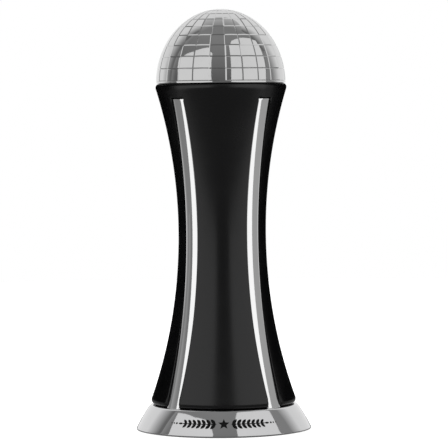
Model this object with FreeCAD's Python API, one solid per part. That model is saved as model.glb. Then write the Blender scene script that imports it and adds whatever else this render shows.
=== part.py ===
import FreeCAD, Part
import math
import os

# Column trophy: faceted dome on a waisted round column with four inlaid strips,
# standing on a conical base.  Millimetres; +Z is up, the front faces -Y and the
# origin is on the axis, at the level the trophy rests on.

V = FreeCAD.Vector
UP = V(0, 0, 1)
AXIS_FOOT = V(0, 0, 0)

# ---- overall sizes
base_height = 15.4
column_height = 190.6
dome_height = 44.0

# ---- column; the waist is its narrowest height above its foot
waist_radius = 26.0
waist_height = 101.6
column_top_radius = 39.8
column_wall = 2.6
column_top_round = 2.5
column_foot_round = 2.7
top_flange_height = 6.0
foot_flange_height = 5.0
foot_flange_width = 4.2
channel_backing = 2.2
backing_side = 2.4
lip_bevel = 0.5

# ---- strips and their tape
strip_width = 10.0
strip_thickness = 2.0
strip_edge_round = 0.8
strip_end_round = 0.4
strip_waist_recess = 0.1
strip_top_recess = 1.0
strip_top_gap = 9.0
strip_side_clearance = 0.1
strip_end_clearance = 0.3
tape_thickness = 0.3
tape_margin = 1.0
peg_radius = 1.5
peg_depth = 1.7
peg_clearance = 0.1
peg_end_distance = 28.0
strip_azimuths = {
    "front_left": -45.0,
    "front_right": 45.0,
    "rear_left": -135.0,
    "rear_right": 135.0,
}

# ---- dome; its foot stands a step in from the column's top edge and reaches
# inward past the edge's round, to sit on the flat
dome_step = 1.2
dome_rim_inset = 0.1
dome_rim_height = 1.2
dome_wall = 2.3
dome_seat = 0.1
dome_columns = 24
dome_rows = 9
dome_turn = 4.6
pole_radius = 2.0
pole_button_margin = 0.4
groove_half_width = 0.4
groove_depth = 0.45
narrow_tile_share = 0.25
boss_wall = 2.0
boss_root = 0.8
boss_count = 4
boss_azimuth = 45.0
gusset_thickness = 1.6
gusset_lift = 4.0

# ---- cap between column and dome
cap_plate = 3.0
cap_dome_clearance = 0.25
cap_bore_clearance = 0.15
cap_spigot_depth = 5.0
cap_spigot_wall = 2.2

# ---- base ring, weight and pad; the foot flares out from the column's edge
base_flare = 8.48
base_bulge = 0.35
base_lip_height = 0.7
base_overhang = 0.6
base_wall = 3.0
base_plate = 3.0
base_top_round = 2.5
base_foot_round = 0.3
base_spigot_height = 4.0
base_spigot_wall = 2.0
base_spigot_clearance = 0.15
pad_thickness = 1.2
pad_proud = 0.5
pad_clearance = 0.3
pad_ledge_inset = 2.4
pad_ledge_width = 2.8
weight_thickness = 8.0
weight_clearance = 0.4
weight_socket_clearance = 4.0
weight_web = 2.4
weight_edge = 0.8

# ---- index keys that hold column, base and cap at one angle
key_width = 4.0
key_reach = 1.4
key_clearance = 0.2
key_azimuth = 180.0

# ---- M5 tie rod hardware (standard sizes)
rod_radius = 2.5
thread_depth = 0.4
thread_pitch = 0.8
thread_length = 16.0
rod_hole_clearance = 0.25
nut_across_flats = 8.0
nut_height = 4.0
jam_nut_height = 2.7
nut_bore_clearance = 0.05
nut_chamfer_angle = 30.0
washer_radius = 5.0
washer_thickness = 1.0
lock_washer_radius = 4.6
lock_washer_thickness = 1.2
lock_washer_slot = 1.0
rod_end_show = 1.2

# ---- dome screws (standard 3 mm self-tappers)
screw_shank_radius = 1.45
screw_thread_clearance = 0.05
screw_length = 12.0
screw_head_radius = 3.0
screw_head_height = 2.2
screw_head_round_share = 0.4
screw_head_gap = 1.25
screw_hole_clearance = 0.35
screw_tip_length = 1.5
screw_tip_share = 0.3
screw_pilot_spare = 1.0
recess_arm = 3.2
recess_width = 0.8
recess_depth = 1.2

# ---- closeness at which an edge counts as lying on a named circle or height
match_tolerance = 0.01

# ---- heights that follow
column_foot_z = base_height
column_top_z = base_height + column_height
total_height = column_top_z + dome_height
waist_z = column_foot_z + waist_height
strip_top_z = column_top_z - strip_top_gap
base_bottom_z = pad_proud
cap_top_z = column_top_z + cap_plate
plate_bottom_z = base_height - base_plate
weight_web_z = plate_bottom_z - weight_web


def arc_radius(rise, offset):
    """Radius of the arc that leaves its waist by `offset` over `rise`."""
    return (rise * rise + offset * offset) / (2.0 * offset)


def arc_at(z, middle, bend):
    """Distance from the axis of a waisted arc at height z."""
    drop = z - waist_z
    return middle + bend - math.sqrt(bend * bend - drop * drop)


column_bend = arc_radius(column_top_z - waist_z, column_top_radius - waist_radius)


def column_r(z):
    return arc_at(z, waist_radius, column_bend)


def column_flat_radius():
    """Radius of the flat inside the round on the column's top edge."""
    slope = math.asin((column_top_z - waist_z) / column_bend)
    return column_top_radius - column_top_round / math.tan(0.25 * math.pi - 0.5 * slope)


strip_middle = waist_radius - strip_waist_recess
strip_top_r = column_r(strip_top_z) - strip_top_recess
strip_bend = arc_radius(strip_top_z - waist_z, strip_top_r - strip_middle)


def strip_r(z):
    return arc_at(z, strip_middle, strip_bend)


floor_drop = strip_thickness + tape_thickness
cap_bore_radius = strip_r(strip_top_z) - floor_drop - channel_backing
foot_bore_radius = strip_r(column_foot_z) - floor_drop - foot_flange_width
base_top_radius = column_r(column_foot_z) - base_overhang
base_radius = base_top_radius + base_flare
far = 2.0 * base_radius
dome_radius = column_top_radius - dome_step
dome_rim_radius = dome_radius - dome_rim_inset
dome_inner_radius = column_flat_radius() - dome_seat
dome_inner_height = dome_height - dome_wall
cap_radius = dome_inner_radius - cap_dome_clearance
cap_spigot_radius = cap_bore_radius - cap_bore_clearance
base_spigot_radius = foot_bore_radius - base_spigot_clearance
boss_circle = cap_spigot_radius - cap_spigot_wall - screw_head_radius - screw_head_gap
pilot_radius = screw_shank_radius + screw_thread_clearance
screw_hole_radius = screw_shank_radius + screw_hole_clearance
boss_radius = pilot_radius + boss_wall
pole_button_radius = pole_radius - pole_button_margin
rod_core_radius = rod_radius - thread_depth
rod_hole_radius = rod_radius + rod_hole_clearance
nut_bore_radius = rod_radius + nut_bore_clearance
weight_recess_radius = washer_radius + weight_socket_clearance
channel_width = strip_width + 2.0 * strip_side_clearance
backing_width = channel_width + 2.0 * backing_side


def turn(shape, azimuth):
    """Turn a shape made along +X to an azimuth counted from the front."""
    turned = shape.copy()
    turned.rotate(AXIS_FOOT, UP, azimuth - 90.0)
    return turned


def at_azimuth(radius, azimuth, z):
    angle = math.radians(azimuth)
    return V(radius * math.sin(angle), -radius * math.cos(angle), z)


def cylinder(radius, low, high, centre=AXIS_FOOT):
    return Part.makeCylinder(radius, high - low, V(centre.x, centre.y, low))


def tube(outer, inner, low, high):
    return cylinder(outer, low, high).cut(cylinder(inner, low, high))


def spin_edges(edges):
    """Closed outline of edges in the XZ plane, spun into a solid."""
    face = Part.Face(Part.Wire(edges))
    return face.revolve(AXIS_FOOT, UP, 360.0)


def spin_points(points):
    corners = [V(r, 0, z) for r, z in points]
    return spin_edges(Part.makePolygon(corners + corners[:1]).Edges)


def line(r1, z1, r2, z2):
    return Part.makeLine(V(r1, 0, z1), V(r2, 0, z2))


def waisted_solid(radius_at, inset, low, high):
    """Solid of revolution inside a waisted arc moved inward by `inset`."""
    r_low = radius_at(low) - inset
    r_high = radius_at(high) - inset
    middle = 0.5 * (low + high)
    arc = Part.Arc(
        V(r_low, 0, low),
        V(radius_at(middle) - inset, 0, middle),
        V(r_high, 0, high),
    ).toShape()
    return spin_edges([line(0, low, r_low, low), arc, line(r_high, high, 0, high),
                       line(0, high, 0, low)])


def outside_of(radius_at, inset, low, high):
    """Everything beyond the same waisted arc, out to a far radius."""
    r_low = radius_at(low) - inset
    r_high = radius_at(high) - inset
    middle = 0.5 * (low + high)
    arc = Part.Arc(
        V(r_low, 0, low),
        V(radius_at(middle) - inset, 0, middle),
        V(r_high, 0, high),
    ).toShape()
    return spin_edges([arc, line(r_high, high, far, high), line(far, high, far, low),
                       line(far, low, r_low, low)])


def slab(width, low, high):
    """Radial slab along +X, used to pick one side out of a spun shape."""
    return Part.makeBox(far, width, high - low, V(0, -0.5 * width, low))


def key_block(reach, width, inner, low, high):
    block = Part.makeBox(reach, width, high - low, V(inner, -0.5 * width, low))
    return turn(block, key_azimuth)


def circles_at(shape, radius, z):
    """Circular edges of a given radius and height."""
    found = []
    for edge in shape.Edges:
        curve = edge.Curve
        if isinstance(curve, Part.Circle) and edge.Closed:
            same_z = abs(curve.Center.z - z) < match_tolerance
            if same_z and abs(curve.Radius - radius) < match_tolerance:
                found.append(edge)
    return found


# ---- column -----------------------------------------------------------------

def strip_channel():
    """Channel along +X: open at the foot, closed at the top."""
    low = column_foot_z - column_foot_round
    high = strip_top_z + strip_end_clearance
    return outside_of(strip_r, floor_drop, low, high).common(slab(channel_width, low, high))


def column_bore():
    """Hollow of the column, narrower behind each channel."""
    low = column_foot_z + foot_flange_height
    high = column_top_z - top_flange_height
    hollow = waisted_solid(column_r, column_wall, low, high)
    backing = outside_of(strip_r, floor_drop + channel_backing, low, high)
    backing = backing.common(slab(backing_width, low, high))
    for azimuth in strip_azimuths.values():
        hollow = hollow.cut(turn(backing, azimuth))
    return hollow


def peg_heights():
    return (column_foot_z + peg_end_distance, strip_top_z - peg_end_distance)


def peg(radius, inner, outer, z):
    return Part.makeCylinder(radius, outer - inner, V(inner, 0, z), V(1, 0, 0))


def lip_wedge(hand):
    """Cutter that bevels one long lip of the channel along +X."""
    low = column_foot_z - column_foot_round
    high = strip_top_z + strip_end_clearance
    middle = 0.5 * (low + high)
    side = 0.5 * channel_width
    y = hand * (side - lip_bevel)

    def lip_point(z):
        lip_x = math.sqrt(column_r(z) ** 2 - side * side)
        return V(lip_x - 2.0 * lip_bevel, y, z)

    arc = Part.Arc(lip_point(low), lip_point(middle), lip_point(high)).toShape()
    top_side = Part.makeLine(lip_point(high), V(far, y, high))
    far_side = Part.makeLine(V(far, y, high), V(far, y, low))
    foot_side = Part.makeLine(V(far, y, low), lip_point(low))
    face = Part.Face(Part.Wire([arc, top_side, far_side, foot_side]))
    return face.extrude(V(2.0 * lip_bevel, 2.0 * hand * lip_bevel, 0))


def column_shell():
    body = waisted_solid(column_r, 0.0, column_foot_z, column_top_z)
    body = body.makeFillet(column_foot_round, circles_at(
        body, column_r(column_foot_z), column_foot_z))
    body = body.makeFillet(column_top_round, circles_at(
        body, column_r(column_top_z), column_top_z))
    cutters = (strip_channel(), lip_wedge(-1), lip_wedge(1))
    for azimuth in strip_azimuths.values():
        for cutter in cutters:
            body = body.cut(turn(cutter, azimuth))
    body = body.cut(column_bore())
    body = body.cut(cylinder(cap_bore_radius, column_top_z - top_flange_height, column_top_z))
    body = body.cut(cylinder(foot_bore_radius, column_foot_z,
                             column_foot_z + foot_flange_height))
    for z in peg_heights():
        hole = peg(peg_radius + peg_clearance, 0.5 * waist_radius, column_r(z), z)
        for azimuth in strip_azimuths.values():
            body = body.cut(turn(hole, azimuth))
    notch_width = key_width + 2.0 * key_clearance
    notch_reach = key_reach + 2.0 * key_clearance
    body = body.cut(key_block(notch_reach, notch_width, cap_bore_radius - key_clearance,
                              column_top_z - top_flange_height, column_top_z))
    return body.cut(key_block(notch_reach, notch_width, foot_bore_radius - key_clearance,
                              column_foot_z, column_foot_z + foot_flange_height))


# ---- strips -----------------------------------------------------------------

def strip_body():
    low = column_foot_z
    high = strip_top_z
    body = waisted_solid(strip_r, 0.0, low, high)
    body = body.cut(waisted_solid(strip_r, strip_thickness, low, high))
    body = body.common(slab(strip_width, low, high))
    long_edges = []
    for edge in body.Edges:
        if edge.BoundBox.ZLength < 0.5 * column_height:
            continue
        point = edge.valueAt(0.5 * (edge.FirstParameter + edge.LastParameter))
        if abs(math.hypot(point.x, point.y) - strip_r(point.z)) < match_tolerance:
            long_edges.append(edge)
    return body.makeFillet(strip_edge_round, long_edges)


def bright_strip(azimuth):
    body = strip_body()
    end_edges = []
    for edge in body.Edges:
        box = edge.BoundBox
        level = box.ZLength < match_tolerance
        if level and box.ZMin > strip_top_z - match_tolerance:
            middle = edge.valueAt(0.5 * (edge.FirstParameter + edge.LastParameter))
            if middle.x > strip_r(strip_top_z) - 0.5 * strip_edge_round:
                end_edges.append(edge)
    body = body.makeChamfer(strip_end_round, end_edges)
    for z in peg_heights():
        back = strip_r(z) - strip_thickness
        body = body.fuse(peg(peg_radius, back - tape_thickness - peg_depth,
                             back + 0.5 * strip_thickness, z))
    return turn(body, azimuth)


def strip_tape(azimuth):
    low = column_foot_z + tape_margin
    high = strip_top_z - tape_margin
    width = strip_width - 2.0 * tape_margin
    body = waisted_solid(strip_r, strip_thickness, low, high)
    body = body.cut(waisted_solid(strip_r, floor_drop, low, high))
    body = body.common(slab(width, low, high))
    for z in peg_heights():
        body = body.cut(peg(peg_radius + peg_clearance, 0.5 * waist_radius, column_r(z), z))
    return turn(body, azimuth)


# ---- dome -------------------------------------------------------------------

def dome_angles():
    """Ellipse parameters of the tile courses, rim to pole."""
    low = math.asin(dome_rim_height / dome_height)
    high = math.acos(pole_radius / dome_radius)
    step = (high - low) / dome_rows
    return [low + step * row for row in range(dome_rows + 1)]


def dome_point(angle, azimuth, share):
    """Point on the dome's egg shape, shrunk towards the rim's centre."""
    flat = share * dome_radius * math.cos(angle)
    return at_azimuth(flat, azimuth, column_top_z + share * dome_height * math.sin(angle))


def tile_corners(low_left, low_right, high_right, high_left, inset):
    """Corners of a flat tile, set in from the four sides of its trapezoid."""
    bottom = low_right.sub(low_left)
    top = high_right.sub(high_left)
    side = high_left.sub(low_left)
    half_change = 0.5 * (bottom.Length - top.Length)
    height = math.sqrt(side.Length ** 2 - half_change ** 2)
    along = V(bottom).normalize()
    middle_low = low_left.add(low_right).multiply(0.5)
    middle_high = high_left.add(high_right).multiply(0.5)
    rise = middle_high.sub(middle_low).normalize()
    slope = half_change / height
    side_inset = inset * side.Length / height
    corners = []
    for level, hand in ((inset, -1), (inset, 1), (height - inset, 1), (height - inset, -1)):
        half = 0.5 * bottom.Length - slope * level - side_inset
        corner = middle_low.add(V(rise).multiply(level))
        corners.append(corner.add(V(along).multiply(hand * half)))
    return corners


def flat_face(points):
    return Part.Face(Part.makePolygon(points + points[:1]))


def dome_tile(low_angle, high_angle, left, right):
    """Flat tile and the four groove sides around it."""
    outer = [dome_point(low_angle, left, 1.0), dome_point(low_angle, right, 1.0),
             dome_point(high_angle, right, 1.0), dome_point(high_angle, left, 1.0)]
    narrow = outer[2].sub(outer[3]).Length
    inset = min(groove_half_width, narrow_tile_share * narrow)
    corners = tile_corners(outer[0], outer[1], outer[2], outer[3], inset)
    share = 1.0 - groove_depth / dome_radius
    valley = [dome_point(low_angle, left, share), dome_point(low_angle, right, share),
              dome_point(high_angle, right, share), dome_point(high_angle, left, share)]
    faces = [flat_face(corners)]
    for index in range(4):
        after = (index + 1) % 4
        faces.append(flat_face([valley[index], valley[after], corners[after], corners[index]]))
    return faces


def dome_skin():
    """Closed solid under the tiled surface, from the rim's top to the pole."""
    angles = dome_angles()
    share = 1.0 - groove_depth / dome_radius
    step = 360.0 / dome_columns
    azimuths = [dome_turn + step * column for column in range(dome_columns)]
    faces = []
    for row in range(dome_rows):
        for azimuth in azimuths:
            faces += dome_tile(angles[row], angles[row + 1], azimuth, azimuth + step)
    for angle in (angles[0], angles[-1]):
        faces.append(flat_face([dome_point(angle, azimuth, share) for azimuth in azimuths]))
    shell = Part.Shell(faces)
    shell.sewShape()
    return Part.Solid(shell)


def half_egg(radius, height, low):
    """Quarter-ellipse outline, drawn as an exact spline, spun about the axis."""
    if height > radius:
        curve = Part.Ellipse(V(0, 0, low + height), V(radius, 0, low), V(0, 0, low))
    else:
        curve = Part.Ellipse(V(radius, 0, low), V(0, 0, low + height), V(0, 0, low))
    start = curve.parameter(V(radius, 0, low))
    end = curve.parameter(V(0, 0, low + height))
    if abs(end - start) > math.pi:
        start, end = end, start + 2.0 * math.pi
    arc = curve.toBSpline(min(start, end), max(start, end)).toShape()
    return spin_edges([arc, line(0, low + height, 0, low), line(0, low, radius, low)])


def boss_azimuths():
    return [boss_azimuth + 360.0 * number / boss_count for number in range(boss_count)]


def dome_bosses():
    """Screw bosses hanging from the dome's ceiling, each on a thin gusset."""
    ceiling = half_egg(dome_inner_radius + boss_root, dome_inner_height + boss_root,
                       column_top_z)
    post = cylinder(boss_radius, cap_top_z, total_height, V(boss_circle, 0, 0))
    low = cap_top_z + gusset_lift
    gusset = Part.makeBox(far, gusset_thickness, total_height - low,
                          V(boss_circle, -0.5 * gusset_thickness, low))
    post = post.fuse(gusset).common(ceiling)
    pilot_top = column_top_z + screw_length + screw_pilot_spare
    post = post.cut(cylinder(pilot_radius, cap_top_z, pilot_top, V(boss_circle, 0, 0)))
    return [turn(post, azimuth) for azimuth in boss_azimuths()]


def dome_shell():
    angles = dome_angles()
    share = 1.0 - groove_depth / dome_radius
    rim_top = column_top_z + share * dome_height * math.sin(angles[0])
    pole_z = column_top_z + share * dome_height * math.sin(angles[-1])
    body = dome_skin()
    body = body.fuse(cylinder(dome_rim_radius, column_top_z, rim_top))
    body = body.fuse(cylinder(pole_button_radius, pole_z, total_height))
    body = body.cut(half_egg(dome_inner_radius, dome_inner_height, column_top_z))
    return body.fuse(dome_bosses())


# ---- cap --------------------------------------------------------------------

def top_cap():
    low = column_top_z - cap_spigot_depth
    body = cylinder(cap_radius, column_top_z, cap_top_z)
    body = body.fuse(tube(cap_spigot_radius, cap_spigot_radius - cap_spigot_wall,
                          low, column_top_z))
    inner = cap_spigot_radius - 0.5 * cap_spigot_wall
    reach = cap_bore_radius + key_reach - inner
    body = body.fuse(key_block(reach, key_width, inner, low, column_top_z))
    body = body.cut(cylinder(rod_hole_radius, column_top_z, cap_top_z))
    for azimuth in boss_azimuths():
        centre = at_azimuth(boss_circle, azimuth, 0.0)
        body = body.cut(cylinder(screw_hole_radius, column_top_z, cap_top_z, centre))
    return body


def dome_screw(azimuth):
    """Pan-head self-tapper driven upward, with a cross recess in its head."""
    head_low = column_top_z - screw_head_height
    head = cylinder(screw_head_radius, head_low, column_top_z)
    rim = circles_at(head, screw_head_radius, head_low)
    head = head.makeFillet(screw_head_round_share * screw_head_height, rim)
    for angle in (0.0, 90.0):
        arm = Part.makeBox(recess_arm, recess_width, recess_depth,
                           V(-0.5 * recess_arm, -0.5 * recess_width, head_low))
        arm.rotate(AXIS_FOOT, UP, angle)
        head = head.cut(arm)
    tip_z = column_top_z + screw_length
    shank = cylinder(screw_shank_radius, column_top_z, tip_z - screw_tip_length)
    tip = Part.makeCone(screw_shank_radius, screw_tip_share * screw_shank_radius,
                        screw_tip_length, V(0, 0, tip_z - screw_tip_length))
    screw = head.fuse([shank, tip])
    screw.translate(at_azimuth(boss_circle, azimuth, 0.0))
    return screw


def dome_screws():
    return Part.makeCompound([dome_screw(azimuth) for azimuth in boss_azimuths()])


# ---- tie rod and its hardware -----------------------------------------------

nut_top_low_z = cap_top_z + washer_thickness
rod_top_z = nut_top_low_z + nut_height + rod_end_show
washer_low_z = weight_web_z - washer_thickness
lock_low_z = washer_low_z - lock_washer_thickness
nut_low_z = lock_low_z - nut_height
rod_foot_z = nut_low_z - rod_end_show


def thread_points(low, high):
    """Zigzag outline of a threaded stretch, drawn as rings."""
    count = int(round((high - low) / thread_pitch))
    pitch = (high - low) / count
    points = []
    for turn_number in range(count):
        z = low + pitch * turn_number
        points.append((rod_core_radius, z))
        points.append((rod_radius, z + 0.5 * pitch))
    points.append((rod_core_radius, high))
    return points


def tie_rod():
    points = [(0.0, rod_foot_z)]
    points += thread_points(rod_foot_z, rod_foot_z + thread_length)
    points += [(rod_radius, rod_foot_z + thread_length + thread_pitch),
               (rod_radius, rod_top_z - thread_length - thread_pitch)]
    points += thread_points(rod_top_z - thread_length, rod_top_z)
    points.append((0.0, rod_top_z))
    return spin_points(points)


def hexagon_nut(height, low):
    """Hexagon nut with both faces chamfered."""
    corner = nut_across_flats / math.sqrt(3.0)
    points = [V(corner * math.cos(math.radians(60.0 * side)),
                corner * math.sin(math.radians(60.0 * side)), low) for side in range(6)]
    body = flat_face(points).extrude(V(0, 0, height))
    flat = 0.5 * nut_across_flats
    drop = (corner - flat) * math.tan(math.radians(nut_chamfer_angle))
    top = low + height
    body = body.common(spin_points([(0.0, low), (flat, low), (corner, low + drop),
                                    (corner, top - drop), (flat, top), (0.0, top)]))
    return body.cut(cylinder(nut_bore_radius, low, top))


def washer(radius, thickness, low):
    return tube(radius, rod_hole_radius, low, low + thickness)


def rod_lock_washer():
    """Split spring washer, drawn flat as it lies when tightened."""
    ring = washer(lock_washer_radius, lock_washer_thickness, lock_low_z)
    slot = Part.makeBox(far, lock_washer_slot, lock_washer_thickness,
                        V(0, -0.5 * lock_washer_slot, lock_low_z))
    return ring.cut(slot)


# ---- base -------------------------------------------------------------------

def cone_r(z):
    """Outer radius of the base's cone at height z."""
    low = base_bottom_z + base_lip_height
    share = (z - low) / (base_height - low)
    return base_radius - share * base_flare


def cavity_r(z):
    slope = base_flare / (base_height - base_bottom_z - base_lip_height)
    return cone_r(z) - base_wall * math.sqrt(1.0 + slope * slope)


def base_cavity():
    """Space for the weight, stepped at its mouth for the pad."""
    cone = spin_points([(0.0, base_bottom_z), (cavity_r(base_bottom_z), base_bottom_z),
                        (cavity_r(plate_bottom_z), plate_bottom_z), (0.0, plate_bottom_z)])
    ledge_r = base_radius - pad_ledge_inset
    throat = cylinder(ledge_r - pad_ledge_width, base_bottom_z, plate_bottom_z)
    return cone.common(throat).fuse(cylinder(ledge_r, base_bottom_z, pad_thickness))


def base_ring():
    lip_z = base_bottom_z + base_lip_height
    middle_z = 0.5 * (lip_z + base_height)
    slant = math.hypot(base_flare, base_height - lip_z)
    bulge_r = cone_r(middle_z) + base_bulge * (base_height - lip_z) / slant
    bulge_z = middle_z + base_bulge * base_flare / slant
    side = Part.Arc(V(base_radius, 0, lip_z), V(bulge_r, 0, bulge_z),
                    V(base_top_radius, 0, base_height)).toShape()
    body = spin_edges([line(0, base_bottom_z, base_radius, base_bottom_z),
                       line(base_radius, base_bottom_z, base_radius, lip_z), side,
                       line(base_top_radius, base_height, 0, base_height),
                       line(0, base_height, 0, base_bottom_z)])
    body = body.makeFillet(base_top_round, circles_at(body, base_top_radius, base_height))
    body = body.makeFillet(base_foot_round, circles_at(body, base_radius, base_bottom_z))
    body = body.cut(base_cavity())
    body = body.fuse(tube(base_spigot_radius, base_spigot_radius - base_spigot_wall,
                          base_height, base_height + base_spigot_height))
    inner = base_spigot_radius - 0.5 * base_spigot_wall
    body = body.fuse(key_block(foot_bore_radius + key_reach - inner, key_width, inner,
                               base_height, base_height + base_spigot_height))
    return body.cut(cylinder(rod_hole_radius, plate_bottom_z, base_height))


def base_weight():
    radius = cavity_r(plate_bottom_z) - weight_clearance
    low = plate_bottom_z - weight_thickness
    body = cylinder(radius, low, plate_bottom_z)
    edges = circles_at(body, radius, low) + circles_at(body, radius, plate_bottom_z)
    body = body.makeChamfer(weight_edge, edges)
    body = body.cut(cylinder(weight_recess_radius, low, weight_web_z))
    return body.cut(cylinder(rod_hole_radius, weight_web_z, plate_bottom_z))


def base_pad():
    return cylinder(base_radius - pad_ledge_inset - pad_clearance, 0.0, pad_thickness)


# ---- write every piece ------------------------------------------------------

def pieces():
    built = {
        "dome_shell": dome_shell(),
        "dome_screws": dome_screws(),
        "top_cap": top_cap(),
        "tie_rod": tie_rod(),
        "rod_top_washer": washer(washer_radius, washer_thickness, cap_top_z),
        "rod_top_nut": hexagon_nut(nut_height, nut_top_low_z),
        "rod_jam_nut": hexagon_nut(jam_nut_height, column_top_z - jam_nut_height),
        "column_shell": column_shell(),
        "base_ring": base_ring(),
        "base_weight": base_weight(),
        "rod_bottom_washer": washer(washer_radius, washer_thickness, washer_low_z),
        "rod_lock_washer": rod_lock_washer(),
        "rod_bottom_nut": hexagon_nut(nut_height, nut_low_z),
        "base_pad": base_pad(),
    }
    for name, azimuth in strip_azimuths.items():
        built["strip_" + name] = bright_strip(azimuth)
        built["tape_" + name] = strip_tape(azimuth)
    return built


os.makedirs("parts", exist_ok=True)
for name, shape in pieces().items():
    shape.exportStep("parts/" + name + ".step")
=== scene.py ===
import math

import bmesh
import bpy
from mathutils import Matrix, Vector


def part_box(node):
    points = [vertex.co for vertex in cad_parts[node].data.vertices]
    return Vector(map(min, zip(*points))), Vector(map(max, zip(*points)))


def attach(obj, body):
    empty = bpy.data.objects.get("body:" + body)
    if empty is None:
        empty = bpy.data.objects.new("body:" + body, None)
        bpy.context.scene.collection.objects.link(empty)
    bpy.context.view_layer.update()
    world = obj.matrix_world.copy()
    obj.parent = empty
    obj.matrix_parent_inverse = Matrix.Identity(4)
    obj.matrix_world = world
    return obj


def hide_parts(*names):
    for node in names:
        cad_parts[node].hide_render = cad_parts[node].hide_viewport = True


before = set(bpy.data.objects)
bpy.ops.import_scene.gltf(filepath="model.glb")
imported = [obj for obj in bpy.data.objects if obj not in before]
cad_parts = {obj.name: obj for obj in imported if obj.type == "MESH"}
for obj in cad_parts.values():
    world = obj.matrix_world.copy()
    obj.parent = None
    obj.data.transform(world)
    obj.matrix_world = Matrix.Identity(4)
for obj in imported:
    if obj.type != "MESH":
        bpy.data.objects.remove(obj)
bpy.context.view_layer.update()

MM = 0.001

# Gaps, in metres, below which points are merged or heights count as equal.
MERGE = 1e-7
HAIR = 1e-6
NEAR = 1e-5

# ---- sizes of the visible pieces: metres, and degrees for the strips -------

DOME_COLUMNS = 24
DOME_ROWS = 9
DOME_TURN = math.radians(4.6)
DOME_WALL = 2.3 * MM
DOME_RIM_HEIGHT = 1.2 * MM
DOME_RIM_OVER = 0.1 * MM
POLE_RADIUS = 2.0 * MM
POLE_INSET = 0.4 * MM
POLE_RISE = 0.1 * MM
RIM_TOP_ROUND = 0.25 * MM
RIM_FOOT_ROUND = 0.15 * MM
RIM_STEPS = 240
GROOVE_HALF = 0.4 * MM
GROOVE_DEPTH = 0.2 * MM
NARROW_TILE_SHARE = 0.25
TILE_CUTS = 5
TILE_CROWN = 0.92

COLUMN_WAIST = 26.0 * MM
COLUMN_TOP = 39.8 * MM
WAIST_HEIGHT = 101.6 * MM
COLUMN_TOP_ROUND = 2.5 * MM
COLUMN_FOOT_ROUND = 2.7 * MM
COLUMN_END_RUN = 5.0 * MM
CHANNEL_WIDTH = 10.2 * MM
CHANNEL_DROP = 2.3 * MM
CHANNEL_BACKING = 2.2 * MM
CHANNEL_END_CLEARANCE = 0.3 * MM
TOP_FLANGE_HEIGHT = 6.0 * MM
FOOT_FLANGE_HEIGHT = 5.0 * MM
FOOT_FLANGE_WIDTH = 4.2 * MM
LIP_ROUND = 0.6 * MM
STRIP_WIDTH = 10.0 * MM
STRIP_THICKNESS = 2.0 * MM
STRIP_WAIST_RECESS = 0.1 * MM
STRIP_TOP_RECESS = 1.0 * MM
STRIP_EDGE_ROUND = 0.85 * MM
STRIP_COLUMNS = 8
STRIP_ROWS = 120
STRIP_AZIMUTHS = {"strip_front_left": -45, "strip_front_right": 45,
                  "strip_rear_left": -135, "strip_rear_right": 135}

BASE_OVERHANG = 0.6 * MM
BASE_LIP = 0.7 * MM
BASE_TOP_ROUND = 2.5 * MM
BASE_BULGE = 0.35 * MM
BASE_FOOT_ROUND = 0.3 * MM
BASE_WALL = 3.0 * MM
BASE_PLATE = 3.0 * MM
SPIGOT_CLEARANCE = 0.15 * MM
SPIGOT_HEIGHT = 4.0 * MM
SPIGOT_WALL = 2.0 * MM
ROD_HOLE_RADIUS = 2.75 * MM
PAD_LEDGE_INSET = 2.4 * MM
PAD_LEDGE_WIDTH = 2.8 * MM
PAD_RECESS = 1.2 * MM
BASE_STEPS = 288
BASE_SIDE_STEPS = 10


def low_z(node):
    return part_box(node)[0][2]


def high_z(node):
    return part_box(node)[1][2]


DOME_FOOT = low_z("dome_shell")
DOME_TOP = high_z("dome_shell")
DOME_HEIGHT = DOME_TOP - DOME_FOOT
DOME_RIM_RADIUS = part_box("dome_shell")[1][0]
DOME_RADIUS = DOME_RIM_RADIUS + DOME_RIM_OVER
COLUMN_FOOT = low_z("column_shell")
COLUMN_HEAD = high_z("column_shell")
STRIP_TOP = high_z("strip_front_left")
WAIST_Z = COLUMN_FOOT + WAIST_HEIGHT
BASE_FOOT = low_z("base_ring")
BASE_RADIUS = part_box("base_ring")[1][0]


# ---- shape helpers ---------------------------------------------------------

def arc_radius(rise, offset):
    return (rise * rise + offset * offset) / (2.0 * offset)


def waisted(z, middle, bend):
    return middle + bend - math.sqrt(bend * bend - (z - WAIST_Z) ** 2)


COLUMN_BEND = arc_radius(COLUMN_HEAD - WAIST_Z, COLUMN_TOP - COLUMN_WAIST)


def column_r(z):
    return waisted(z, COLUMN_WAIST, COLUMN_BEND)


STRIP_MIDDLE = COLUMN_WAIST - STRIP_WAIST_RECESS
STRIP_BEND = arc_radius(STRIP_TOP - WAIST_Z,
                        column_r(STRIP_TOP) - STRIP_TOP_RECESS - STRIP_MIDDLE)


def strip_r(z):
    return waisted(z, STRIP_MIDDLE, STRIP_BEND)


BASE_TOP_RADIUS = column_r(COLUMN_FOOT) - BASE_OVERHANG


def around(radius, azimuth, z):
    """Point at an azimuth counted from the front towards the right."""
    return Vector((radius * math.sin(azimuth), -radius * math.cos(azimuth), z))


def radius_of(point):
    return math.hypot(point.x, point.y)


def azimuth_of(point):
    return math.atan2(point.x, -point.y)


def round_corner(before, corner, after, radius, steps=5):
    """Points of a round between two straight runs of a profile."""
    a = (Vector(before) - Vector(corner)).normalized()
    b = (Vector(after) - Vector(corner)).normalized()
    half = 0.5 * a.angle(b)
    reach = radius / math.tan(half)
    centre = Vector(corner) + (a + b).normalized() * (radius / math.sin(half))
    start = (Vector(corner) + a * reach - centre).normalized()
    end = (Vector(corner) + b * reach - centre).normalized()
    return [tuple(centre + radius * start.slerp(end, step / steps))
            for step in range(steps + 1)]


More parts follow.
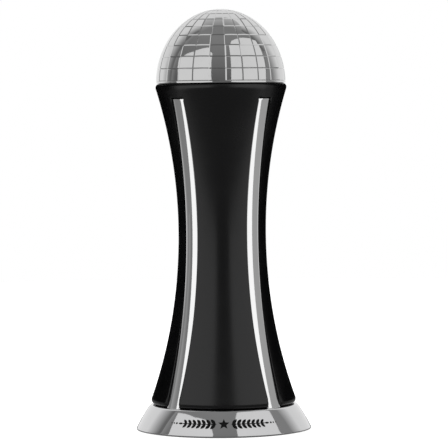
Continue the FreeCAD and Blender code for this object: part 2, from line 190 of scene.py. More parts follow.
def spin_profile(points, steps, closed=True):
    """Spin a profile of (radius, height) pairs about the axis."""
    bm = bmesh.new()
    verts = [bm.verts.new((r, 0.0, z)) for r, z in points]
    edges = [bm.edges.new(pair) for pair in zip(verts, verts[1:])]
    if closed:
        edges.append(bm.edges.new((verts[-1], verts[0])))
    bmesh.ops.spin(bm, geom=verts + edges, cent=(0, 0, 0), axis=(0, 0, 1), dvec=(0, 0, 0),
                   angle=2.0 * math.pi, steps=steps, use_merge=True, use_duplicate=False)
    bmesh.ops.remove_doubles(bm, verts=bm.verts[:], dist=MERGE)
    bmesh.ops.recalc_face_normals(bm, faces=bm.faces[:])
    return bm


def finish_piece(bm, name, material, replaced=(), sharp=40.0):
    """Turn a bmesh into a smooth-shaded piece that rides with the trophy."""
    bmesh.ops.recalc_face_normals(bm, faces=bm.faces[:])
    limit = math.radians(sharp)
    for face in bm.faces:
        face.smooth = True
    for edge in bm.edges:
        edge.smooth = not (edge.is_manifold and edge.calc_face_angle(0.0) > limit)
    mesh = bpy.data.meshes.new(name)
    bm.to_mesh(mesh)
    bm.free()
    piece = bpy.data.objects.new(name, mesh)
    bpy.context.scene.collection.objects.link(piece)
    mesh.materials.append(material)
    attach(piece, "root")
    if replaced:
        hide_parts(*replaced)
    return piece


# ---- shared shader effects -------------------------------------------------

def new_group(name, inputs, outputs):
    group = bpy.data.node_groups.new(name, "ShaderNodeTree")
    for label, kind, value in inputs:
        socket = group.interface.new_socket(label, in_out="INPUT", socket_type=kind)
        if value is not None:
            socket.default_value = value
    for label, kind in outputs:
        group.interface.new_socket(label, in_out="OUTPUT", socket_type=kind)
    return group


def add(tree, kind, **values):
    """Add a node, setting attributes by name and inputs by `in_` plus their name."""
    node = tree.nodes.new(kind)
    for key, value in values.items():
        if key.startswith("in_"):
            node.inputs[key[3:].replace("_", " ")].default_value = value
        else:
            setattr(node, key, value)
    return node


def join(tree, source, output, target, socket):
    tree.links.new(source.outputs[output], target.inputs[socket])


def make_smudge_group():
    """Faint handling marks: a cloudy mask and a fine scratch height."""
    group = new_group("handling_marks",
                      [("Scale", "NodeSocketFloat", 40.0), ("Scratch", "NodeSocketFloat", 900.0)],
                      [("Mask", "NodeSocketFloat"), ("Height", "NodeSocketFloat")])
    inlet = add(group, "NodeGroupInput")
    outlet = add(group, "NodeGroupOutput")
    place = add(group, "ShaderNodeTexCoord")
    cloud = add(group, "ShaderNodeTexNoise", in_Detail=4.0, in_Roughness=0.55)
    ramp = add(group, "ShaderNodeMapRange", in_From_Min=0.42, in_From_Max=0.72)
    fine = add(group, "ShaderNodeTexNoise", in_Detail=2.0, in_Roughness=0.5)
    join(group, place, "Object", cloud, "Vector")
    join(group, place, "Object", fine, "Vector")
    join(group, inlet, "Scale", cloud, "Scale")
    join(group, inlet, "Scratch", fine, "Scale")
    join(group, cloud, "Fac", ramp, "Value")
    join(group, ramp, "Result", outlet, "Mask")
    join(group, fine, "Fac", outlet, "Height")
    return group


def make_edge_group():
    """Mask that is bright on worn convex edges."""
    group = new_group("edge_wear", [], [("Mask", "NodeSocketFloat")])
    outlet = add(group, "NodeGroupOutput")
    shape = add(group, "ShaderNodeNewGeometry")
    ramp = add(group, "ShaderNodeMapRange", in_From_Min=0.52, in_From_Max=0.62)
    join(group, shape, "Pointiness", ramp, "Value")
    join(group, ramp, "Result", outlet, "Mask")
    return group


HANDLING = make_smudge_group()
EDGE_WEAR = make_edge_group()


def group_node(tree, group, **values):
    node = tree.nodes.new("ShaderNodeGroup")
    node.node_tree = group
    for key, value in values.items():
        node.inputs[key].default_value = value
    return node


def start_material(name):
    material = bpy.data.materials.new(name)
    material.use_nodes = True
    tree = material.node_tree
    shader = tree.nodes["Principled BSDF"]
    return material, tree, shader


def mix_colour(tree, mask_node, mask_output, first, second):
    mix = tree.nodes.new("ShaderNodeMix")
    mix.data_type = "RGBA"
    mix.inputs[6].default_value = (*first, 1.0)
    mix.inputs[7].default_value = (*second, 1.0)
    tree.links.new(mask_node.outputs[mask_output], mix.inputs[0])
    return mix


def span(tree, source, output, low, high):
    """Stretch a 0 to 1 value over a range."""
    node = add(tree, "ShaderNodeMapRange", in_To_Min=low, in_To_Max=high)
    join(tree, source, output, node, "Value")
    return node


def bump_from(tree, source, output, distance, strength, shader):
    bump = add(tree, "ShaderNodeBump", in_Distance=distance, in_Strength=strength)
    join(tree, source, output, bump, "Height")
    join(tree, bump, "Normal", shader, "Normal")
    return bump


def bright_metal(name, clean, marked, rough_low, rough_high, cloud, wave):
    """Mirror-bright plating with faint marks and a very slight waviness."""
    material, tree, shader = start_material(name)
    shader.inputs["Metallic"].default_value = 1.0
    marks = group_node(tree, HANDLING, Scale=cloud)
    colour = mix_colour(tree, marks, "Mask", clean, marked)
    tree.links.new(colour.outputs[2], shader.inputs["Base Color"])
    rough = span(tree, marks, "Mask", rough_low, rough_high)
    join(tree, rough, "Result", shader, "Roughness")
    bump_from(tree, marks, "Height", wave, 0.25, shader)
    return material


def black_column_finish():
    """Satin black moulding: fine grain, a little dust and handling sheen."""
    material, tree, shader = start_material("satin_black")
    shader.inputs["IOR"].default_value = 1.46
    marks = group_node(tree, HANDLING, Scale=55.0, Scratch=2600.0)
    colour = mix_colour(tree, marks, "Mask", (0.0022, 0.0022, 0.0025), (0.0035, 0.0035, 0.0038))
    tree.links.new(colour.outputs[2], shader.inputs["Base Color"])
    rough = span(tree, marks, "Mask", 0.24, 0.28)
    join(tree, rough, "Result", shader, "Roughness")
    bump_from(tree, marks, "Height", 0.00001, 0.3, shader)
    return material


def plain_finish(name, base, worn, metallic, rough, grain, ior=1.5):
    """Working finish for hardware, mouldings, tape and pad."""
    material, tree, shader = start_material(name)
    shader.inputs["Metallic"].default_value = metallic
    shader.inputs["IOR"].default_value = ior
    marks = group_node(tree, HANDLING, Scale=grain)
    wear = group_node(tree, EDGE_WEAR)
    colour = mix_colour(tree, wear, "Mask", base, worn)
    tree.links.new(colour.outputs[2], shader.inputs["Base Color"])
    roughness = span(tree, marks, "Mask", rough, min(1.0, rough + 0.12))
    join(tree, roughness, "Result", shader, "Roughness")
    bump_from(tree, marks, "Height", 0.00003, 0.4, shader)
    return material


STRIP_CHROME = bright_metal("strip_chrome", (0.93, 0.93, 0.93), (0.90, 0.90, 0.90),
                            0.03, 0.06, 30.0, 0.000002)
BASE_CHROME = bright_metal("base_chrome", (0.58, 0.58, 0.585), (0.56, 0.56, 0.565),
                           0.04, 0.07, 30.0, 0.000002)
DOME_MIRROR = bright_metal("dome_mirror", (0.58, 0.58, 0.58), (0.55, 0.55, 0.55),
                           0.03, 0.07, 60.0, 0.000002)
SATIN_BLACK = black_column_finish()
ZINC = plain_finish("zinc_plate", (0.55, 0.56, 0.58), (0.75, 0.75, 0.76), 1.0, 0.30, 300.0)
TURNED_STEEL = plain_finish("turned_steel", (0.36, 0.36, 0.37), (0.5, 0.5, 0.5), 1.0, 0.38, 200.0)
MOULDED_BLACK = plain_finish("moulded_black", (0.012, 0.012, 0.012), (0.03, 0.03, 0.03),
                             0.0, 0.5, 250.0)
TAPE_FOAM = plain_finish("tape_foam", (0.60, 0.60, 0.56), (0.66, 0.66, 0.62), 0.0, 0.8, 500.0)
PRINT_BLACK = plain_finish("print_black", (0.003, 0.003, 0.003), (0.005, 0.005, 0.005),
                           0.0, 0.6, 400.0, 1.25)
PAD_FOAM = plain_finish("pad_foam", (0.010, 0.010, 0.011), (0.02, 0.02, 0.02), 0.0, 0.85, 900.0)

NODE_FINISH = {
    "dome_screws": ZINC, "tie_rod": ZINC, "rod_top_washer": ZINC, "rod_top_nut": ZINC,
    "rod_jam_nut": ZINC, "rod_bottom_washer": ZINC, "rod_lock_washer": ZINC,
    "rod_bottom_nut": ZINC, "top_cap": MOULDED_BLACK, "base_weight": TURNED_STEEL,
    "base_pad": PAD_FOAM, "tape_front_left": TAPE_FOAM, "tape_front_right": TAPE_FOAM,
    "tape_rear_left": TAPE_FOAM, "tape_rear_right": TAPE_FOAM,
}


def finish_cad_nodes():
    for name, material in NODE_FINISH.items():
        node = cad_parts[name]
        for index in range(len(node.material_slots)):
            node.material_slots[index].link = "OBJECT"
            node.material_slots[index].material = material


# ---- dome ------------------------------------------------------------------

def dome_profile(share, wall=0.0):
    """Courses of the egg-shaped dome from its rim to its pole."""
    low = math.asin(DOME_RIM_HEIGHT / DOME_HEIGHT)
    high = math.acos(POLE_RADIUS / DOME_RADIUS)
    points = []
    for row in range(DOME_ROWS + 1):
        angle = low + (high - low) * row / DOME_ROWS
        points.append(((share * DOME_RADIUS - wall) * math.cos(angle),
                       DOME_FOOT + (share * DOME_HEIGHT - wall) * math.sin(angle)))
    return points


def open_loops(bm):
    """Boundary edges, lowest loop first."""
    edges = [edge for edge in bm.edges if edge.is_boundary]
    low = min(edge.verts[0].co.z for edge in edges)
    foot = [edge for edge in edges if edge.verts[0].co.z < low + NEAR]
    return foot, [edge for edge in edges if edge not in foot]


def raise_tiles(bm, tiles):
    """Set each flat tile in from its grooves and lift it to the surface."""
    by_inset = {}
    for tile in tiles:
        narrow = min(edge.calc_length() for edge in tile.edges)
        inset = min(GROOVE_HALF, NARROW_TILE_SHARE * narrow)
        by_inset.setdefault(round(inset, 7), []).append(tile)
    for inset, group in by_inset.items():
        bmesh.ops.inset_individual(bm, faces=group, thickness=inset, depth=GROOVE_DEPTH,
                                   use_even_offset=True)


def crown_tiles(bm, tiles):
    """Divide each tile and swell it a little towards the dome's round form."""
    edges = {edge for tile in tiles for edge in tile.edges}
    corners = {vert for tile in tiles for vert in tile.verts}
    level = sum(dome_level(vert.co) for vert in corners) / len(corners)
    result = bmesh.ops.subdivide_edges(bm, edges=list(edges), cuts=TILE_CUTS,
                                       use_grid_fill=True)
    for vert in {item for item in result["geom_inner"] if isinstance(item, bmesh.types.BMVert)}:
        share = dome_level(vert.co)
        lift = 1.0 + TILE_CROWN * (level / share - 1.0)
        vert.co.x *= lift
        vert.co.y *= lift
        vert.co.z = DOME_FOOT + (vert.co.z - DOME_FOOT) * lift


def dome_level(point):
    """1 on the dome's outer form, less inside it."""
    flat = radius_of(point) / DOME_RADIUS
    return math.hypot(flat, (point.z - DOME_FOOT) / DOME_HEIGHT)


def make_dome():
    share = 1.0 - GROOVE_DEPTH / DOME_RADIUS
    bm = spin_profile(dome_profile(share), DOME_COLUMNS, closed=False)
    tiles = list(bm.faces)
    outward = sum(tile.normal.dot(tile.calc_center_median().normalized()) for tile in tiles)
    if outward < 0.0:
        bmesh.ops.reverse_faces(bm, faces=tiles)
    foot, pole = open_loops(bm)
    cap = bmesh.ops.edgeloop_fill(bm, edges=pole)["faces"]
    if cap[0].normal.z < 0.0:
        bmesh.ops.reverse_faces(bm, faces=cap)
    bmesh.ops.inset_individual(bm, faces=cap, thickness=POLE_INSET, depth=POLE_RISE,
                               use_even_offset=True)
    raise_tiles(bm, tiles)
    crown_tiles(bm, tiles)
    inner = spin_profile(dome_profile(1.0, DOME_WALL), DOME_COLUMNS, closed=False)
    inner_pole = open_loops(inner)[1]
    bmesh.ops.edgeloop_fill(inner, edges=inner_pole)
    lining = bpy.data.meshes.new("dome_lining")
    inner.to_mesh(lining)
    inner.free()
    bm.from_mesh(lining)
    bpy.data.meshes.remove(lining)
    bmesh.ops.bridge_loops(bm, edges=[edge for edge in bm.edges if edge.is_boundary])
    bmesh.ops.rotate(bm, verts=bm.verts[:], matrix=Matrix.Rotation(DOME_TURN, 3, "Z"))
    return finish_piece(bm, "dome_tiles", DOME_MIRROR, ["dome_shell"],
                        sharp=22.0)


def make_dome_rim():
    low = math.asin(DOME_RIM_HEIGHT / DOME_HEIGHT)
    top = DOME_FOOT + (1.0 - GROOVE_DEPTH / DOME_RADIUS) * DOME_HEIGHT * math.sin(low)
    inside = DOME_RADIUS - DOME_WALL
    points = [(inside, DOME_FOOT), (inside, top)]
    points += round_corner((inside, top), (DOME_RIM_RADIUS, top),
                           (DOME_RIM_RADIUS, DOME_FOOT), RIM_TOP_ROUND, 3)
    points += round_corner((DOME_RIM_RADIUS, top), (DOME_RIM_RADIUS, DOME_FOOT),
                           (inside, DOME_FOOT), RIM_FOOT_ROUND, 3)
    return finish_piece(spin_profile(points, RIM_STEPS), "dome_rim", DOME_MIRROR)


# ---- column ----------------------------------------------------------------

COLUMN_STEPS = 96
HEAD_STEPS = 4
BORE_STEPS = 24
CHANNEL_STEPS = 4
SPIN_STEPS = 144
CHANNEL_SPAN = CHANNEL_STEPS * 2.0 * math.pi / SPIN_STEPS
OUTSIDE_DEPTH = 2.0 * MM
LEAST_SINK = 0.1 * MM


def column_profile():
    """Outer outline in three runs, and the height where the channels stop."""
    above_foot = COLUMN_FOOT + COLUMN_END_RUN
    below_head = COLUMN_HEAD - COLUMN_END_RUN
    foot_side = (column_r(above_foot), above_foot)
    head_side = (column_r(below_head), below_head)
    foot = round_corner((0.0, COLUMN_FOOT), (column_r(COLUMN_FOOT), COLUMN_FOOT), foot_side,
                        COLUMN_FOOT_ROUND, 7)
    head = round_corner(head_side, (column_r(COLUMN_HEAD), COLUMN_HEAD), (0.0, COLUMN_HEAD),
                        COLUMN_TOP_ROUND, 7)
    stop = STRIP_TOP + CHANNEL_END_CLEARANCE
    low, high = foot[-1][1], head[0][1]
    heights = [low + (stop - low) * step / COLUMN_STEPS for step in range(1, COLUMN_STEPS + 1)]
    heights += [stop + (high - stop) * step / HEAD_STEPS for step in range(1, HEAD_STEPS)]
    side = [(column_r(z), z) for z in heights]
    return foot, side, head, stop


def column_bore():
    """Inner outline, from the head down to the foot."""
    drop = CHANNEL_DROP + CHANNEL_BACKING
    head_bore = strip_r(STRIP_TOP) - drop
    foot_bore = strip_r(COLUMN_FOOT) - CHANNEL_DROP - FOOT_FLANGE_WIDTH
    high = COLUMN_HEAD - TOP_FLANGE_HEIGHT
    low = COLUMN_FOOT + FOOT_FLANGE_HEIGHT
    points = [(head_bore, COLUMN_HEAD), (head_bore, high)]
    for step in range(1, BORE_STEPS):
        z = high + (low - high) * step / BORE_STEPS
        points.append((strip_r(z) - drop, z))
    return points + [(foot_bore, low), (foot_bore, COLUMN_FOOT)]


def channel_side(azimuth):
    """Nearest channel's azimuth and the signed angle from it."""
    centres = [math.radians(angle) for angle in STRIP_AZIMUTHS.values()]
    centre = min(centres, key=lambda middle: abs(wrap(azimuth - middle)))
    return centre, wrap(azimuth - centre)


def wrap(angle):
    return (angle + math.pi) % (2.0 * math.pi) - math.pi


def line_up_channels(bm):
    """Slide the column's upright lines so that two of them edge each channel."""
    quarter = 0.25 * math.pi
    for vert in bm.verts:
        radius = radius_of(vert.co)
        centre, off = channel_side(azimuth_of(vert.co))
        half = math.asin(0.5 * CHANNEL_WIDTH / radius)
        size = abs(off)
        if size <= CHANNEL_SPAN + HAIR:
            size *= half / CHANNEL_SPAN
        else:
            size = half + (size - CHANNEL_SPAN) * (quarter - half) / (quarter - CHANNEL_SPAN)
        vert.co = around(radius, centre + math.copysign(size, off), vert.co.z)


def sink_channels(bm, outer_faces, stop):
    """Press the four channels in and round their lips."""
    region = []
    for face in outer_faces:
        middle = face.calc_center_median()
        _, off = channel_side(azimuth_of(middle))
        half = math.asin(0.5 * CHANNEL_WIDTH / radius_of(middle))
        if abs(off) < half and middle.z < stop:
            region.append(face)
    chosen = set(region)
    lips = [edge for edge in {edge for face in region for edge in face.edges}
            if len([face for face in edge.link_faces if face in chosen]) == 1
            and max(vert.co.z for vert in edge.verts) > COLUMN_FOOT + HAIR]
    result = bmesh.ops.extrude_face_region(bm, geom=region)
    bmesh.ops.delete(bm, geom=[face for face in region if face.is_valid], context="FACES")
    for vert in [item for item in result["geom"] if isinstance(item, bmesh.types.BMVert)]:
        centre, off = channel_side(azimuth_of(vert.co))
        radius = radius_of(vert.co)
        across = radius * math.sin(off)
        floor = min(strip_r(vert.co.z) - CHANNEL_DROP, radius - LEAST_SINK)
        vert.co = around(floor, centre + math.asin(across / floor), vert.co.z)
    lips = [edge for edge in lips if edge.is_valid]
    bmesh.ops.bevel(bm, geom=lips, offset=LIP_ROUND, segments=3, affect="EDGES",
                    profile=0.5, material=-1, clamp_overlap=True)


def on_outside(face):
    """True for a face of the column's outer side, above its flat foot."""
    middle = face.calc_center_median()
    side = column_r(min(max(middle.z, COLUMN_FOOT), COLUMN_HEAD))
    return radius_of(middle) > side - OUTSIDE_DEPTH and middle.z > COLUMN_FOOT + NEAR


def make_column():
    foot, side, head, stop = column_profile()
    bm = spin_profile(foot + side + head + column_bore(), SPIN_STEPS)
    line_up_channels(bm)
    sink_channels(bm, [face for face in bm.faces if on_outside(face)], stop)
    return finish_piece(bm, "column_body", SATIN_BLACK, ["column_shell"],
                        sharp=40.0)


# ---- strips ----------------------------------------------------------------

def make_strip(node, azimuth):
    """A bar with a face rounded like the column, bent to the column's waist."""
    bm = bmesh.new()
    bmesh.ops.create_grid(bm, x_segments=STRIP_COLUMNS, y_segments=STRIP_ROWS, size=0.5)
    height = STRIP_TOP - COLUMN_FOOT
    for vert in bm.verts:
        z = COLUMN_FOOT + (vert.co.y + 0.5) * height
        across = vert.co.x * STRIP_WIDTH
        radius = strip_r(z)
        vert.co = around(radius, math.radians(azimuth) + math.asin(across / radius), z)
    brim = [edge for edge in bm.edges if edge.is_boundary
            and max(vert.co.z for vert in edge.verts) > COLUMN_FOOT + HAIR]
    result = bmesh.ops.extrude_face_region(bm, geom=bm.faces[:])
    for vert in [item for item in result["geom"] if isinstance(item, bmesh.types.BMVert)]:
        inner = radius_of(vert.co) - STRIP_THICKNESS
        _, off = channel_side(azimuth_of(vert.co))
        across = radius_of(vert.co) * math.sin(off)
        vert.co = around(inner, math.radians(azimuth) + math.asin(across / inner), vert.co.z)
    bmesh.ops.recalc_face_normals(bm, faces=bm.faces[:])
    bmesh.ops.bevel(bm, geom=brim, offset=STRIP_EDGE_ROUND, segments=5, affect="EDGES",
                    profile=0.5, material=-1, clamp_overlap=True)
    return finish_piece(bm, node + "_bar", STRIP_CHROME, [node],
                        sharp=50.0)


# ---- base ------------------------------------------------------------------

LIP_Z = BASE_FOOT + BASE_LIP
BASE_FLARE = BASE_RADIUS - BASE_TOP_RADIUS
BASE_SLANT = math.hypot(BASE_FLARE, COLUMN_FOOT - LIP_Z)


def base_side(share):
    """Point and normal of the base's swelling side, from 0 at its lip to 1 at its top."""
    foot = Vector((BASE_RADIUS, LIP_Z))
    along = Vector((-BASE_FLARE, COLUMN_FOOT - LIP_Z)) / BASE_SLANT
    outward = Vector((along.y, -along.x))
    bend = arc_radius(0.5 * BASE_SLANT, BASE_BULGE)
    centre = foot + along * (0.5 * BASE_SLANT) - outward * (bend - BASE_BULGE)
    angle = math.asin(0.5 * BASE_SLANT / bend) * (2.0 * share - 1.0)
    normal = outward * math.cos(angle) + along * math.sin(angle)
    return centre + normal * bend, normal


def make_base():
    """Base spun from its whole section: side, spigot, plate and hollow."""
    plate = COLUMN_FOOT - BASE_PLATE
    spigot_top = COLUMN_FOOT + SPIGOT_HEIGHT
    spigot = strip_r(COLUMN_FOOT) - CHANNEL_DROP - FOOT_FLANGE_WIDTH - SPIGOT_CLEARANCE
    spigot_bore = spigot - SPIGOT_WALL
    slope = BASE_FLARE / (COLUMN_FOOT - LIP_Z)
    inner_top = BASE_TOP_RADIUS + slope * BASE_PLATE - BASE_WALL * math.hypot(1.0, slope)
    ledge = BASE_RADIUS - PAD_LEDGE_INSET
    throat = ledge - PAD_LEDGE_WIDTH
    knee = plate - (throat - inner_top) / slope
    side = [tuple(base_side(step / BASE_SIDE_STEPS)[0]) for step in range(1, BASE_SIDE_STEPS)]
    points = [(ledge, BASE_FOOT)]
    points += round_corner((ledge, BASE_FOOT), (BASE_RADIUS, BASE_FOOT), (BASE_RADIUS, LIP_Z),
                           BASE_FOOT_ROUND, 4)
    points += round_corner((BASE_RADIUS, BASE_FOOT), (BASE_RADIUS, LIP_Z), side[0],
                           BASE_FOOT_ROUND, 3)
    points += side
    points += round_corner(side[-1], (BASE_TOP_RADIUS, COLUMN_FOOT), (0.0, COLUMN_FOOT),
                           BASE_TOP_ROUND, 8)
    points += [(spigot, COLUMN_FOOT), (spigot, spigot_top), (spigot_bore, spigot_top),
               (spigot_bore, COLUMN_FOOT), (ROD_HOLE_RADIUS, COLUMN_FOOT),
               (ROD_HOLE_RADIUS, plate), (inner_top, plate), (throat, knee),
               (throat, PAD_RECESS), (ledge, PAD_RECESS)]
    return finish_piece(spin_profile(points, BASE_STEPS), "base_cone", BASE_CHROME,
                        ["base_ring"], sharp=30.0)


# ---- ornament on the base --------------------------------------------------

ORNAMENT_LEVEL = 0.46
ORNAMENT_LIFT = 0.06 * MM
ORNAMENT_DEPTH = 0.1 * MM
LEAF_PAIRS = 7
LEAF_START = 4.6 * MM
LEAF_STEP = 2.9 * MM
STAR_REACH = 3.4 * MM
STAR_NOTCH = 0.45
LEAF_ANGLE = 0.8  # radians from the stem
LEAF_OFFSET = 0.2 * MM
LEAF_LENGTH = 4.3 * MM
LEAF_SHRINK = 0.13 * MM
LEAF_SLIMNESS = 0.46
LEAF_SHARES = (0.0, 0.12, 0.28, 0.45, 0.62, 0.8, 1.0)
STEM_LENGTH = 3.6 * MM
STEM_WIDTH = 0.9 * MM
STEM_OVERLAP = 0.4 * MM
TIP_LENGTH = 3.0 * MM
TIP_WIDTH = 1.2 * MM
DOTS = 3
DOT_START = 4.2 * MM
DOT_STEP = 1.8 * MM
DOT_RADIUS = 0.6 * MM
DOT_SHRINK = 0.13 * MM


def ornament_point(across, up):
    """Point of the ornament, wrapped on the front of the base."""
    middle, _ = base_side(ORNAMENT_LEVEL)
    place, normal = base_side(ORNAMENT_LEVEL + up / BASE_SLANT)
    lifted = place + normal * ORNAMENT_LIFT
    return around(lifted.x, across / middle.x, lifted.y)


def add_patch(bm, outline):
    """Fill a small outline of (across, up) points with a fan of triangles."""
    count = len(outline)
    middle = (sum(point[0] for point in outline) / count,
              sum(point[1] for point in outline) / count)
    hub = bm.verts.new(ornament_point(*middle))
    rim = [bm.verts.new(ornament_point(*point)) for point in outline]
    for first, second in zip(rim, rim[1:] + rim[:1]):
        bm.faces.new((hub, first, second))


def add_star(bm):
    outline = []
    for corner in range(10):
        reach = STAR_REACH if corner % 2 == 0 else STAR_NOTCH * STAR_REACH
        angle = math.radians(36.0 * corner)
        outline.append((reach * math.sin(angle), reach * math.cos(angle)))
    add_patch(bm, outline)


def add_leaf(bm, hand, start, angle, length, width):
    """Pointed leaf growing from its stem, away from the star."""
    upper = [(share, math.sin(math.pi * share) ** 0.8) for share in LEAF_SHARES]
    loop = upper + [(share, -swell) for share, swell in upper[-2:0:-1]]
    outline = []
    for share, swell in loop:
        along, side = share * length, 0.5 * swell * width
        across = start + along * math.cos(angle) - side * math.sin(angle)
        outline.append((hand * across, along * math.sin(angle) + side * math.cos(angle)))
    add_patch(bm, outline)


def add_dot(bm, across, radius):
    add_patch(bm, [(across + radius * math.cos(math.radians(30.0 * corner)),
                    radius * math.sin(math.radians(30.0 * corner))) for corner in range(12)])


def make_ornament():
    """Printed star between two laurel sprigs that end in dots."""
    bm = bmesh.new()
    add_star(bm)
    for hand in (-1, 1):
        for pair in range(LEAF_PAIRS):
            start = LEAF_START + LEAF_STEP * pair
            length = LEAF_LENGTH - LEAF_SHRINK * pair
            for angle in (-LEAF_ANGLE, LEAF_ANGLE):
                add_leaf(bm, hand, start + LEAF_OFFSET, angle, length, LEAF_SLIMNESS * length)
            add_leaf(bm, hand, start - STEM_OVERLAP, 0.0, STEM_LENGTH, STEM_WIDTH)
        end = LEAF_START + LEAF_STEP * LEAF_PAIRS
        add_leaf(bm, hand, end, 0.0, TIP_LENGTH, TIP_WIDTH)
        for number in range(DOTS):
            add_dot(bm, hand * (end + DOT_START + DOT_STEP * number),
                    DOT_RADIUS - DOT_SHRINK * number)
    result = bmesh.ops.extrude_face_region(bm, geom=bm.faces[:])
    for vert in [item for item in result["geom"] if isinstance(item, bmesh.types.BMVert)]:
        shrink = 1.0 - ORNAMENT_DEPTH / radius_of(vert.co)
        vert.co.x *= shrink
        vert.co.y *= shrink
    return finish_piece(bm, "laurel_print", PRINT_BLACK)


# ---- studio ----------------------------------------------------------------

CAMERA_PLACE = (0.0011, -1.724, 0.1912)
CAMERA_LENS = 233.0
CAMERA_SENSOR = 36.0
CAMERA_TILT = math.radians(2.29)
CAMERA_ROLL = math.radians(-0.5)

# Outlines of the side cards as (depth, height) corners, in metres.
RIGHT_CARD = ((-0.046, 0.025), (-0.046, 0.25), (0.06, 0.60), (-0.265, 1.05),
              (-0.61, 1.45), (-1.0, 1.6), (-1.32, 0.025))
LEFT_CARD = ((-0.046, 0.025), (-0.065, 0.24), (-0.01, 0.40), (-0.05, 0.43), (-0.28, 0.63),
             (-0.75, 1.19), (-0.97, 1.35), (-1.37, 1.45), (-1.62, 0.025))
RIGHT_DIM_CARD = ((-0.044, 0.0), (0.10, 0.0), (0.10, 0.45), (0.05, 0.45), (-0.044, 0.25))

WALL_DISTANCE = 0.42
ROOM_GREY = 0.205
RIGHT_GREY = 0.33
SOFT_GLOW = 1.0
REAR_DISTANCE = 0.6
REAR_HEIGHT = 1.35
REAR_STEPS = 48
FLOOR_RADIUS = 1.5
FLOOR_GLOW = 0.8

# Angles round the trophy, in degrees counted from the front.
REAR_START = 96.0
REAR_SPAN = 168.0
REAR_FADE = (100.0, 124.0)

# Greys of the room by direction: from low to overhead, and added towards the back.
ROOM_RISE = (0.1, 0.9)
ROOM_RISE_GREYS = (0.165, 0.31)
ROOM_BACK = (0.0, 0.5)
ROOM_BACK_GREYS = (0.0, 0.45)


def look_matrix(place, target, roll):
    """Placing that looks from one point to another, rolled about its view."""
    turn = (Vector(target) - Vector(place)).to_track_quat("-Z", "Y").to_matrix().to_4x4()
    return Matrix.Translation(place) @ turn @ Matrix.Rotation(roll, 4, "Z")


def make_camera():
    data = bpy.data.cameras.new("camera")
    data.lens = CAMERA_LENS
    data.sensor_width = CAMERA_SENSOR
    camera = bpy.data.objects.new("camera", data)
    bpy.context.scene.collection.objects.link(camera)
    place = Vector(CAMERA_PLACE)
    aim = place + Vector((0.0, math.cos(CAMERA_TILT), -math.sin(CAMERA_TILT)))
    camera.matrix_world = look_matrix(place, aim, CAMERA_ROLL)
    bpy.context.scene.camera = camera


def glow_material(name, glow, fade=None):
    """Even soft glow, or one that fades with the angle round the trophy."""
    material = bpy.data.materials.new(name)
    material.use_nodes = True
    tree = material.node_tree
    tree.nodes.clear()
    light = add(tree, "ShaderNodeEmission", in_Strength=glow)
    light.inputs["Color"].default_value = (1.0, 1.0, 1.0, 1.0)
    outlet = add(tree, "ShaderNodeOutputMaterial")
    join(tree, light, 0, outlet, "Surface")
    if fade:
        place = add(tree, "ShaderNodeTexCoord")
        parts = add(tree, "ShaderNodeSeparateXYZ")
        angle = add(tree, "ShaderNodeMath", operation="ARCTAN2")
        size = add(tree, "ShaderNodeMath", operation="ABSOLUTE")
        ramp = add(tree, "ShaderNodeMapRange", in_To_Min=ROOM_GREY / glow, in_To_Max=1.0)
        ramp.inputs["From Min"].default_value = math.radians(fade[0] - 90.0)
        ramp.inputs["From Max"].default_value = math.radians(fade[1] - 90.0)
        join(tree, place, "Object", parts, 0)
        join(tree, parts, "Y", angle, 0)
        join(tree, parts, "X", size, 0)
        join(tree, size, 0, angle, 1)
        join(tree, angle, 0, ramp, "Value")
        join(tree, ramp, 0, light, "Color")
    return material


def stage_card(bm, name, material):
    """A soft light made as a card that only the trophy's reflections see."""
    mesh = bpy.data.meshes.new(name)
    bm.to_mesh(mesh)
    bm.free()
    card = bpy.data.objects.new(name, mesh)
    bpy.context.scene.collection.objects.link(card)
    mesh.materials.append(material)
    card.visible_camera = False
    card.visible_shadow = False
    return card


def make_side_card(name, hand, outline, glow):
    """Upright card beside the trophy; its outline is in (depth, height)."""
    bm = bmesh.new()
    corners = [bm.verts.new((hand * WALL_DISTANCE, y, z)) for y, z in outline]
    bm.faces.new(corners)
    stage_card(bm, name, glow_material(name + "_glow", glow))


def make_rear_card(glow):
    """Curved card round the back, fading out towards the sides."""
    bm = bmesh.new()
    start = around(REAR_DISTANCE, math.radians(REAR_START), 0.0)
    foot = bm.verts.new(start)
    head = bm.verts.new(start + Vector((0.0, 0.0, REAR_HEIGHT)))
    edge = bm.edges.new((foot, head))
    bmesh.ops.spin(bm, geom=[foot, head, edge], cent=(0, 0, 0), axis=(0, 0, 1),
                   dvec=(0, 0, 0), angle=math.radians(REAR_SPAN), steps=REAR_STEPS,
                   use_merge=False, use_duplicate=False)
    return stage_card(bm, "rear_card", glow_material("rear_glow", glow, REAR_FADE))


def keep_off(card, piece):
    """Keep a card's light off one piece, as a flag on a stand would."""
    shaded = bpy.data.collections.new(card.name + "_shaded")
    shaded.objects.link(piece)
    shaded.collection_objects[0].light_linking.link_state = "EXCLUDE"
    card.light_linking.receiver_collection = shaded


def room_ramp(tree, reach, greys):
    return add(tree, "ShaderNodeMapRange", in_From_Min=reach[0], in_From_Max=reach[1],
               in_To_Min=greys[0], in_To_Max=greys[1])


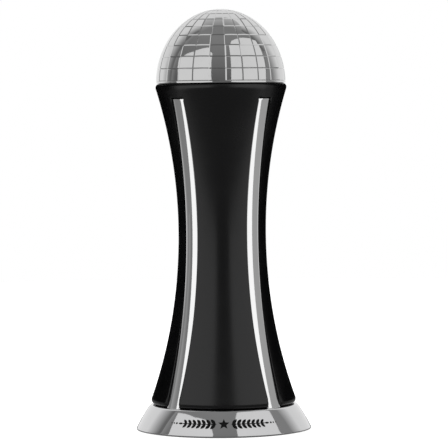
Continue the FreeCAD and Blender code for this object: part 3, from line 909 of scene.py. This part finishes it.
def make_studio():
    """Grey room, brighter overhead and behind, with a backdrop white to the eye."""
    bpy.context.scene.view_settings.view_transform = "Standard"
    world = bpy.data.worlds.new("studio")
    bpy.context.scene.world = world
    world.use_nodes = True
    tree = world.node_tree
    room = tree.nodes["Background"]
    place = add(tree, "ShaderNodeTexCoord")
    parts = add(tree, "ShaderNodeSeparateXYZ")
    overhead = room_ramp(tree, ROOM_RISE, ROOM_RISE_GREYS)
    behind = room_ramp(tree, ROOM_BACK, ROOM_BACK_GREYS)
    total = add(tree, "ShaderNodeMath", operation="ADD")
    join(tree, place, "Generated", parts, 0)
    join(tree, parts, "Z", overhead, "Value")
    join(tree, parts, "Y", behind, "Value")
    join(tree, overhead, "Result", total, 0)
    join(tree, behind, "Result", total, 1)
    join(tree, total, 0, room, "Color")
    backdrop = add(tree, "ShaderNodeBackground")
    backdrop.inputs["Color"].default_value = (1.0, 1.0, 1.0, 1.0)
    path = add(tree, "ShaderNodeLightPath")
    mix = add(tree, "ShaderNodeMixShader")
    join(tree, path, "Is Camera Ray", mix, 0)
    join(tree, room, 0, mix, 1)
    join(tree, backdrop, 0, mix, 2)
    join(tree, mix, 0, tree.nodes["World Output"], "Surface")


def make_cards():
    """The cards that light the trophy; the rear one is returned."""
    make_side_card("card_right", 1, RIGHT_CARD, SOFT_GLOW)
    make_side_card("card_left", -1, LEFT_CARD, SOFT_GLOW)
    make_side_card("card_right_dim", 1, RIGHT_DIM_CARD, RIGHT_GREY)
    return make_rear_card(SOFT_GLOW)


def make_floor():
    """Pale floor, white to the eye and grey in the reflections."""
    bm = bmesh.new()
    bmesh.ops.create_circle(bm, cap_ends=True, segments=96, radius=FLOOR_RADIUS)
    mesh = bpy.data.meshes.new("floor")
    bm.to_mesh(mesh)
    bm.free()
    floor = bpy.data.objects.new("floor", mesh)
    bpy.context.scene.collection.objects.link(floor)
    material, tree, shader = start_material("pale_floor")
    shader.inputs["Roughness"].default_value = 0.9
    shader.inputs["Base Color"].default_value = (0.85, 0.85, 0.85, 1.0)
    shader.inputs["Emission Color"].default_value = (1.0, 1.0, 1.0, 1.0)
    shader.inputs["Emission Strength"].default_value = FLOOR_GLOW
    dim = add(tree, "ShaderNodeEmission", in_Strength=1.0)
    dim.inputs["Color"].default_value = (ROOM_GREY, ROOM_GREY, ROOM_GREY, 1.0)
    path = add(tree, "ShaderNodeLightPath")
    mix = add(tree, "ShaderNodeMixShader")
    join(tree, path, "Is Camera Ray", mix, 0)
    join(tree, dim, 0, mix, 1)
    join(tree, shader, 0, mix, 2)
    join(tree, mix, 0, tree.nodes["Material Output"], "Surface")
    mesh.materials.append(material)


# ---- build -----------------------------------------------------------------

make_camera()
make_studio()
rear_card = make_cards()
make_floor()
finish_cad_nodes()
make_dome()
make_dome_rim()
keep_off(rear_card, make_column())
for node, azimuth in STRIP_AZIMUTHS.items():
    make_strip(node, azimuth)
make_base()
make_ornament()
